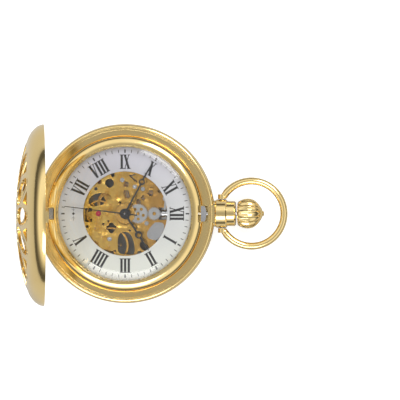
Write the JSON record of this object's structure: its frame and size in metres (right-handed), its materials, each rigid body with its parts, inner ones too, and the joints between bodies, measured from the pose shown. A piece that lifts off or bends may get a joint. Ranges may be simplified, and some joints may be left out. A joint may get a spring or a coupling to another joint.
{
  "type": "pocket watch",
  "caption": "Open hunter-case skeleton pocket watch with a pierced hinged lid, fluted crown, swinging bow, Roman dial and a complete hand-wound movement.",
  "frame": {"origin": "centre of the back foot ring's resting plane, on the hands' axis", "axes": "+Z out of the dial, +Y towards 12 o'clock and the pendant, +X towards 3 o'clock; stored with the front lid open"},
  "size_m": [0.05, 0.0736, 0.0565],
  "materials": {
    "polished_gold": "polished gold plate",
    "satin_gold": "grained gold plate",
    "wheel_brass": "polished brass wheels",
    "polished_steel": "polished steel",
    "blued_spring": "tempered spring steel",
    "brushed_steel": "grained steel",
    "crystal": "clear mineral crystal",
    "ruby": "polished synthetic ruby",
    "dial_enamel": "silvery white dial paint",
    "black_lacquer": "gloss black lacquer"
  },
  "bodies": {
    "case": {"middle_case": "polished_gold", "lid_hinge_pin": "polished_steel", "lid_lift_spring": "blued_spring", "front_bezel": "polished_gold", "front_crystal": "crystal", "rear_bezel": "polished_gold", "rear_crystal": "crystal", "pendant": "polished_gold", "bow_pins": "polished_steel", "movement_ring": "satin_gold", "case_clamps": "satin_gold", "case_clamp_screws": "polished_steel", "main_plate": "satin_gold", "barrel_bridge": "satin_gold", "train_bridge": "satin_gold", "balance_cock": "satin_gold", "pallet_bridge": "satin_gold", "bridge_screws": "polished_steel", "crown_wheel_keeper": "polished_steel", "click_spring": "blued_spring", "hairspring": "blued_spring", "train_jewels": "ruby", "jewel_setting": "satin_gold", "setting_lever_spring": "polished_steel", "dial": "dial_enamel"},
    "lid": {"front_lid": "polished_gold"},
    "bow_body": {"bow": "polished_gold"},
    "winding_spindle": {"winding_pinion": "polished_steel"},
    "stem": {"winding_stem": "polished_steel"},
    "crown_body": {"crown": "polished_gold"},
    "clutch": {"sliding_clutch": "polished_steel"},
    "catch": {"lid_catch": "polished_steel"},
    "setting_lever_body": {"setting_lever": "brushed_steel"},
    "yoke_body": {"yoke": "brushed_steel"},
    "crown_wheel_body": {"crown_wheel": "polished_steel"},
    "ratchet": {"ratchet_wheel": "polished_steel", "ratchet_screw": "polished_steel", "barrel_arbor": "polished_steel"},
    "click_body": {"click": "polished_steel"},
    "barrel": {"barrel_drum": "wheel_brass", "barrel_cover": "wheel_brass", "mainspring": "blued_spring"},
    "centre": {"centre_wheel": "wheel_brass", "cannon_pinion": "brushed_steel", "minute_hand": "black_lacquer"},
    "third": {"third_wheel": "wheel_brass", "sweep_drive_wheel": "wheel_brass"},
    "fourth": {"fourth_wheel": "wheel_brass"},
    "escape": {"escape_wheel": "polished_steel"},
    "pallet": {"pallet_fork": "polished_steel", "pallet_stones": "ruby"},
    "balance": {"balance_wheel": "wheel_brass", "balance_staff": "polished_steel"},
    "regulator_body": {"regulator": "polished_steel"},
    "minute_wheel_body": {"minute_wheel": "brushed_steel"},
    "hour": {"hour_wheel": "wheel_brass", "hour_hand": "black_lacquer"},
    "seconds": {"sweep_seconds_arbor": "polished_steel", "seconds_hand": "black_lacquer"},
    "setting_wheel_body": {"setting_wheel": "brushed_steel"}
  },
  "joints": [
    {"name": "lid_hinge", "type": "hinge", "parent": "case", "child": "lid", "pos_m": [0, -0.023, 0.009], "axis": [-1, 0, 0], "range_deg": [0, 82], "stiffness_Nm_per_rad": 0.003},
    {"name": "bow_swing", "type": "hinge", "parent": "case", "child": "bow_body", "pos_m": [0, 0.027, 0.00615], "axis": [1, 0, 0], "range_deg": [-85, 85]},
    {"name": "winding_spin", "type": "hinge", "parent": "case", "child": "winding_spindle", "pos_m": [0, 0.01265, 0.00615], "axis": [0, 1, 0], "continuous": true},
    {"name": "stem_pull", "type": "slide", "parent": "winding_spindle", "child": "stem", "axis": [0, 1, 0], "range_m": [0, 0.0009]},
    {"name": "crown_press", "type": "slide", "parent": "stem", "child": "crown_body", "axis": [0, 1, 0], "range_m": [-0.0005, 0], "stiffness_N_per_m": 1000, "springref_m": 0.0001},
    {"name": "catch_slide", "type": "slide", "parent": "case", "child": "catch", "axis": [0, 1, 0], "range_m": [-0.0005, 0]},
    {"name": "clutch_slide", "type": "slide", "parent": "winding_spindle", "child": "clutch", "axis": [0, 1, 0], "range_m": [-0.00054, 0]},
    {"name": "setting_lever_swing", "type": "hinge", "parent": "case", "child": "setting_lever_body", "pos_m": [0.0029, 0.0146, 0.007], "axis": [0, 0, 1], "range_deg": [-17.83, 0]},
    {"name": "yoke_swing", "type": "hinge", "parent": "case", "child": "yoke_body", "pos_m": [-0.0042, 0.0113, 0.007], "axis": [0, 0, 1], "range_deg": [-9.57, 0]},
    {"name": "crown_wheel_spin", "type": "hinge", "parent": "case", "child": "crown_wheel_body", "pos_m": [0, 0.0104, 0.0022], "axis": [0, 0, 1], "continuous": true},
    {"name": "ratchet_spin", "type": "hinge", "parent": "case", "child": "ratchet", "pos_m": [-0.00687, 0.00483, 0.0022], "axis": [0, 0, 1], "continuous": true},
    {"name": "click_lift", "type": "hinge", "parent": "case", "child": "click_body", "pos_m": [-0.01294, -0.00091, 0.0022], "axis": [0, 0, 1], "range_deg": [0, 8], "stiffness_Nm_per_rad": 0.00001},
    {"name": "centre_spin", "type": "hinge", "parent": "case", "child": "centre", "pos_m": [0, 0, 0.0053], "axis": [0, 0, -1], "continuous": true},
    {"name": "barrel_spin", "type": "hinge", "parent": "case", "child": "barrel", "pos_m": [-0.00687, 0.00483, 0.0044], "axis": [0, 0, -1], "continuous": true},
    {"name": "third_spin", "type": "hinge", "parent": "case", "child": "third", "pos_m": [-0.00258, -0.00422, 0.005], "axis": [0, 0, -1], "continuous": true},
    {"name": "fourth_spin", "type": "hinge", "parent": "case", "child": "fourth", "pos_m": [0, -0.0076, 0.005], "axis": [0, 0, -1], "continuous": true},
    {"name": "escape_spin", "type": "hinge", "parent": "case", "child": "escape", "pos_m": [0.00408, -0.00853, 0.005], "axis": [0, 0, -1], "continuous": true},
    {"name": "seconds_spin", "type": "hinge", "parent": "case", "child": "seconds", "pos_m": [0, 0, 0.005], "axis": [0, 0, -1], "continuous": true},
    {"name": "minute_wheel_spin", "type": "hinge", "parent": "case", "child": "minute_wheel_body", "pos_m": [0, 0.0036, 0.005], "axis": [0, 0, -1], "continuous": true},
    {"name": "hour_spin", "type": "hinge", "parent": "case", "child": "hour", "pos_m": [0, 0, 0.005], "axis": [0, 0, -1], "continuous": true},
    {"name": "setting_wheel_spin", "type": "hinge", "parent": "case", "child": "setting_wheel_body", "pos_m": [0, 0.0081, 0.005], "axis": [0, 0, -1], "continuous": true},
    {"name": "pallet_rock", "type": "hinge", "parent": "case", "child": "pallet", "pos_m": [0.00642, -0.00666, 0.0049], "axis": [0, 0, 1], "range_deg": [-5, 5]},
    {"name": "balance_swing", "type": "hinge", "parent": "case", "child": "balance", "pos_m": [0.009, -0.0046, 0.0038], "axis": [0, 0, 1], "range_deg": [-140, 140], "stiffness_Nm_per_rad": 0.00000056, "deforming": ["hairspring"]},
    {"name": "regulator_turn", "type": "hinge", "parent": "case", "child": "regulator_body", "pos_m": [0.009, -0.0046, 0.0023], "axis": [0, 0, 1], "range_deg": [-20, 20]}
  ],
  "couplings": [
    {"joint": "catch_slide", "follows": "crown_press", "ratio": 1},
    {"joint": "clutch_slide", "follows": "stem_pull", "ratio": -0.6},
    {"joint": "setting_lever_swing", "follows": "stem_pull", "rad_per_m": -344.83},
    {"joint": "yoke_swing", "follows": "stem_pull", "rad_per_m": -184.62},
    {"joint": "crown_wheel_spin", "follows": "winding_spin", "ratio": 0.57143},
    {"joint": "ratchet_spin", "follows": "winding_spin", "ratio": -0.31579},
    {"joint": "barrel_spin", "follows": "centre_spin", "ratio": -0.16667},
    {"joint": "third_spin", "follows": "centre_spin", "ratio": -8},
    {"joint": "fourth_spin", "follows": "centre_spin", "ratio": 60},
    {"joint": "escape_spin", "follows": "centre_spin", "ratio": -600},
    {"joint": "seconds_spin", "follows": "centre_spin", "ratio": 60},
    {"joint": "minute_wheel_spin", "follows": "centre_spin", "ratio": -0.33333},
    {"joint": "hour_spin", "follows": "centre_spin", "ratio": 0.083333},
    {"joint": "setting_wheel_spin", "follows": "centre_spin", "ratio": 0.5}
  ]
}
